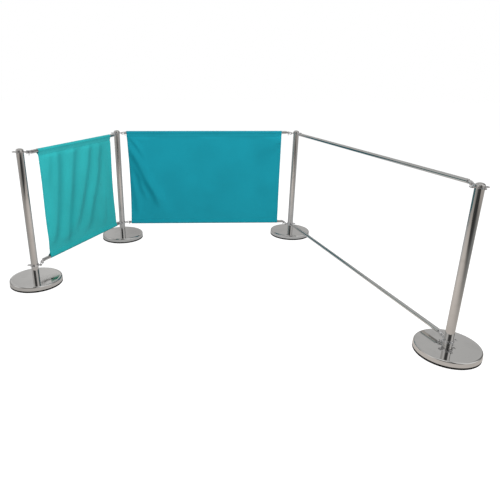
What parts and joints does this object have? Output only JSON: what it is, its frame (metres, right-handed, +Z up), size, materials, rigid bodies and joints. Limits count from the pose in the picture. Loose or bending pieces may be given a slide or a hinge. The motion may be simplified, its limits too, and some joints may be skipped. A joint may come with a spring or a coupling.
{
  "type": "cafe barrier",
  "caption": "Freestanding cafe barrier: mirror-polished posts on round weighted bases, joined by rails on snap hooks, with teal cloth banners stretched between the rails.",
  "frame": {"origin": "middle of the bounding box at floor level", "axes": "+Z up, +X along the middle bay from the left corner post to the right corner post, -Y to the open side that the picture looks in from"},
  "size_m": [2.9812, 2.4702, 1],
  "materials": {
    "mirror_stainless": "mirror polish",
    "plated_fittings": "bright plating",
    "iron_weight": "as cast, painted dark",
    "rubber_edge": "matt black",
    "left_cloth": "plain woven, light teal",
    "middle_cloth": "plain woven, deeper teal"
  },
  "bodies": {
    "left_end_post": {"left_end_rubber_ring": "rubber_edge", "left_end_base_weight": "iron_weight", "left_end_base_cover": "mirror_stainless", "left_end_post_tube": "mirror_stainless", "left_end_lower_ring": "plated_fittings", "left_end_top_ring": "plated_fittings", "left_end_cap": "mirror_stainless"},
    "left_corner_post": {"left_corner_rubber_ring": "rubber_edge", "left_corner_base_weight": "iron_weight", "left_corner_base_cover": "mirror_stainless", "left_corner_post_tube": "mirror_stainless", "left_corner_lower_ring": "plated_fittings", "left_corner_top_ring": "plated_fittings", "left_corner_cap": "mirror_stainless"},
    "right_corner_post": {"right_corner_rubber_ring": "rubber_edge", "right_corner_base_weight": "iron_weight", "right_corner_base_cover": "mirror_stainless", "right_corner_post_tube": "mirror_stainless", "right_corner_lower_ring": "plated_fittings", "right_corner_top_ring": "plated_fittings", "right_corner_cap": "mirror_stainless"},
    "right_end_post": {"right_end_rubber_ring": "rubber_edge", "right_end_base_weight": "iron_weight", "right_end_base_cover": "mirror_stainless", "right_end_post_tube": "mirror_stainless", "right_end_lower_ring": "plated_fittings", "right_end_top_ring": "plated_fittings", "right_end_cap": "mirror_stainless"},
    "left_top_trigger_left": {"left_top_trigger_left": "plated_fittings"},
    "left_top_trigger_right": {"left_top_trigger_right": "plated_fittings"},
    "left_bottom_trigger_left": {"left_bottom_trigger_left": "plated_fittings"},
    "left_bottom_trigger_right": {"left_bottom_trigger_right": "plated_fittings"},
    "left_bay": {"left_top_rail": "mirror_stainless", "left_top_hook_left": "plated_fittings", "left_top_hook_right": "plated_fittings", "left_bottom_rail": "mirror_stainless", "left_bottom_hook_left": "plated_fittings", "left_bottom_hook_right": "plated_fittings"},
    "middle_top_trigger_left": {"middle_top_trigger_left": "plated_fittings"},
    "middle_top_trigger_right": {"middle_top_trigger_right": "plated_fittings"},
    "middle_bottom_trigger_left": {"middle_bottom_trigger_left": "plated_fittings"},
    "middle_bottom_trigger_right": {"middle_bottom_trigger_right": "plated_fittings"},
    "middle_bay": {"middle_top_rail": "mirror_stainless", "middle_top_hook_left": "plated_fittings", "middle_top_hook_right": "plated_fittings", "middle_bottom_rail": "mirror_stainless", "middle_bottom_hook_left": "plated_fittings", "middle_bottom_hook_right": "plated_fittings"},
    "right_top_trigger_left": {"right_top_trigger_left": "plated_fittings"},
    "right_top_trigger_right": {"right_top_trigger_right": "plated_fittings"},
    "right_bottom_trigger_left": {"right_bottom_trigger_left": "plated_fittings"},
    "right_bottom_trigger_right": {"right_bottom_trigger_right": "plated_fittings"},
    "right_bay": {"right_top_rail": "mirror_stainless", "right_top_hook_left": "plated_fittings", "right_top_hook_right": "plated_fittings", "right_bottom_rail": "mirror_stainless", "right_bottom_hook_left": "plated_fittings", "right_bottom_hook_right": "plated_fittings"},
    "left_banner": {"left_banner": "left_cloth"},
    "middle_banner": {"middle_banner": "middle_cloth"}
  },
  "joints": [
    {"name": "left_bay_swivel", "type": "hinge", "parent": "left_corner_post", "child": "left_bay", "pos_m": [-0.76301, 1.00607, 0.976], "axis": [0, 0, 1], "range_deg": [-65, 35]},
    {"name": "left_end_post_swivel", "type": "hinge", "parent": "left_bay", "child": "left_end_post", "pos_m": [-1.26157, 0.06046, 0.976], "axis": [0, 0, 1], "range_deg": [-30, 150]},
    {"name": "middle_bay_swivel", "type": "hinge", "parent": "left_corner_post", "child": "middle_bay", "pos_m": [-0.72151, 1.04757, 0.976], "axis": [0, 0, 1], "range_deg": [-15, 60]},
    {"name": "right_corner_post_swivel", "type": "hinge", "parent": "middle_bay", "child": "right_corner_post", "pos_m": [0.81549, 1.04757, 0.976], "axis": [0, 0, 1], "range_deg": [-20, 60]},
    {"name": "right_bay_swivel", "type": "hinge", "parent": "right_corner_post", "child": "right_bay", "pos_m": [0.85699, 1.00607, 0.976], "axis": [0, 0, 1], "range_deg": [-15, 75]},
    {"name": "right_end_post_swivel", "type": "hinge", "parent": "right_bay", "child": "right_end_post", "pos_m": [1.30307, -1.00607, 0.976], "axis": [0, 0, 1], "range_deg": [-82, 107]},
    {"name": "left_banner_slide", "type": "slide", "parent": "left_bay", "child": "left_banner", "axis": [0.4664, 0.8846, 0], "range_m": [-0.04, 0.03]},
    {"name": "middle_banner_slide", "type": "slide", "parent": "middle_bay", "child": "middle_banner", "axis": [1, 0, 0], "range_m": [0, 0.03]},
    {"name": "left_top_trigger_left_slide", "type": "slide", "parent": "left_bay", "child": "left_top_trigger_left", "axis": [0.4629, 0.878, -0.1219], "range_m": [0, 0.008], "stiffness_N_per_m": 500, "springref_m": -0.004},
    {"name": "left_top_trigger_right_slide", "type": "slide", "parent": "left_bay", "child": "left_top_trigger_right", "axis": [-0.4593, -0.8711, -0.1736], "range_m": [0, 0.008], "stiffness_N_per_m": 500, "springref_m": -0.004},
    {"name": "left_bottom_trigger_left_slide", "type": "slide", "parent": "left_bay", "child": "left_bottom_trigger_left", "axis": [0.306, 0.5803, 0.7547], "range_m": [0, 0.008], "stiffness_N_per_m": 500, "springref_m": -0.004},
    {"name": "left_bottom_trigger_right_slide", "type": "slide", "parent": "left_bay", "child": "left_bottom_trigger_right", "axis": [-0.4293, -0.8143, 0.3907], "range_m": [0, 0.008], "stiffness_N_per_m": 500, "springref_m": -0.004},
    {"name": "middle_top_trigger_left_slide", "type": "slide", "parent": "middle_bay", "child": "middle_top_trigger_left", "axis": [0.9877, 0, 0.1564], "range_m": [0, 0.008], "stiffness_N_per_m": 500, "springref_m": -0.004},
    {"name": "middle_top_trigger_right_slide", "type": "slide", "parent": "middle_bay", "child": "middle_top_trigger_right", "axis": [-0.9703, 0, 0.2419], "range_m": [0, 0.008], "stiffness_N_per_m": 500, "springref_m": -0.004},
    {"name": "middle_bottom_trigger_left_slide", "type": "slide", "parent": "middle_bay", "child": "middle_bottom_trigger_left", "axis": [0.9994, 0, -0.0349], "range_m": [0, 0.008], "stiffness_N_per_m": 500, "springref_m": -0.004},
    {"name": "middle_bottom_trigger_right_slide", "type": "slide", "parent": "middle_bay", "child": "middle_bottom_trigger_right", "axis": [-0.7314, 0, 0.682], "range_m": [0, 0.008], "stiffness_N_per_m": 500, "springref_m": -0.004},
    {"name": "right_top_trigger_left_slide", "type": "slide", "parent": "right_bay", "child": "right_top_trigger_left", "axis": [0.2163, -0.9757, 0.0349], "range_m": [0, 0.008], "stiffness_N_per_m": 500, "springref_m": -0.004},
    {"name": "right_top_trigger_right_slide", "type": "slide", "parent": "right_bay", "child": "right_top_trigger_right", "axis": [-0.2034, 0.9174, 0.342], "range_m": [0, 0.008], "stiffness_N_per_m": 500, "springref_m": -0.004},
    {"name": "right_bottom_trigger_left_slide", "type": "slide", "parent": "right_bay", "child": "right_bottom_trigger_left", "axis": [0.2091, -0.943, 0.2588], "range_m": [0, 0.008], "stiffness_N_per_m": 500, "springref_m": -0.004},
    {"name": "right_bottom_trigger_right_slide", "type": "slide", "parent": "right_bay", "child": "right_bottom_trigger_right", "axis": [-0.2007, 0.9052, 0.3746], "range_m": [0, 0.008], "stiffness_N_per_m": 500, "springref_m": -0.004}
  ]
}
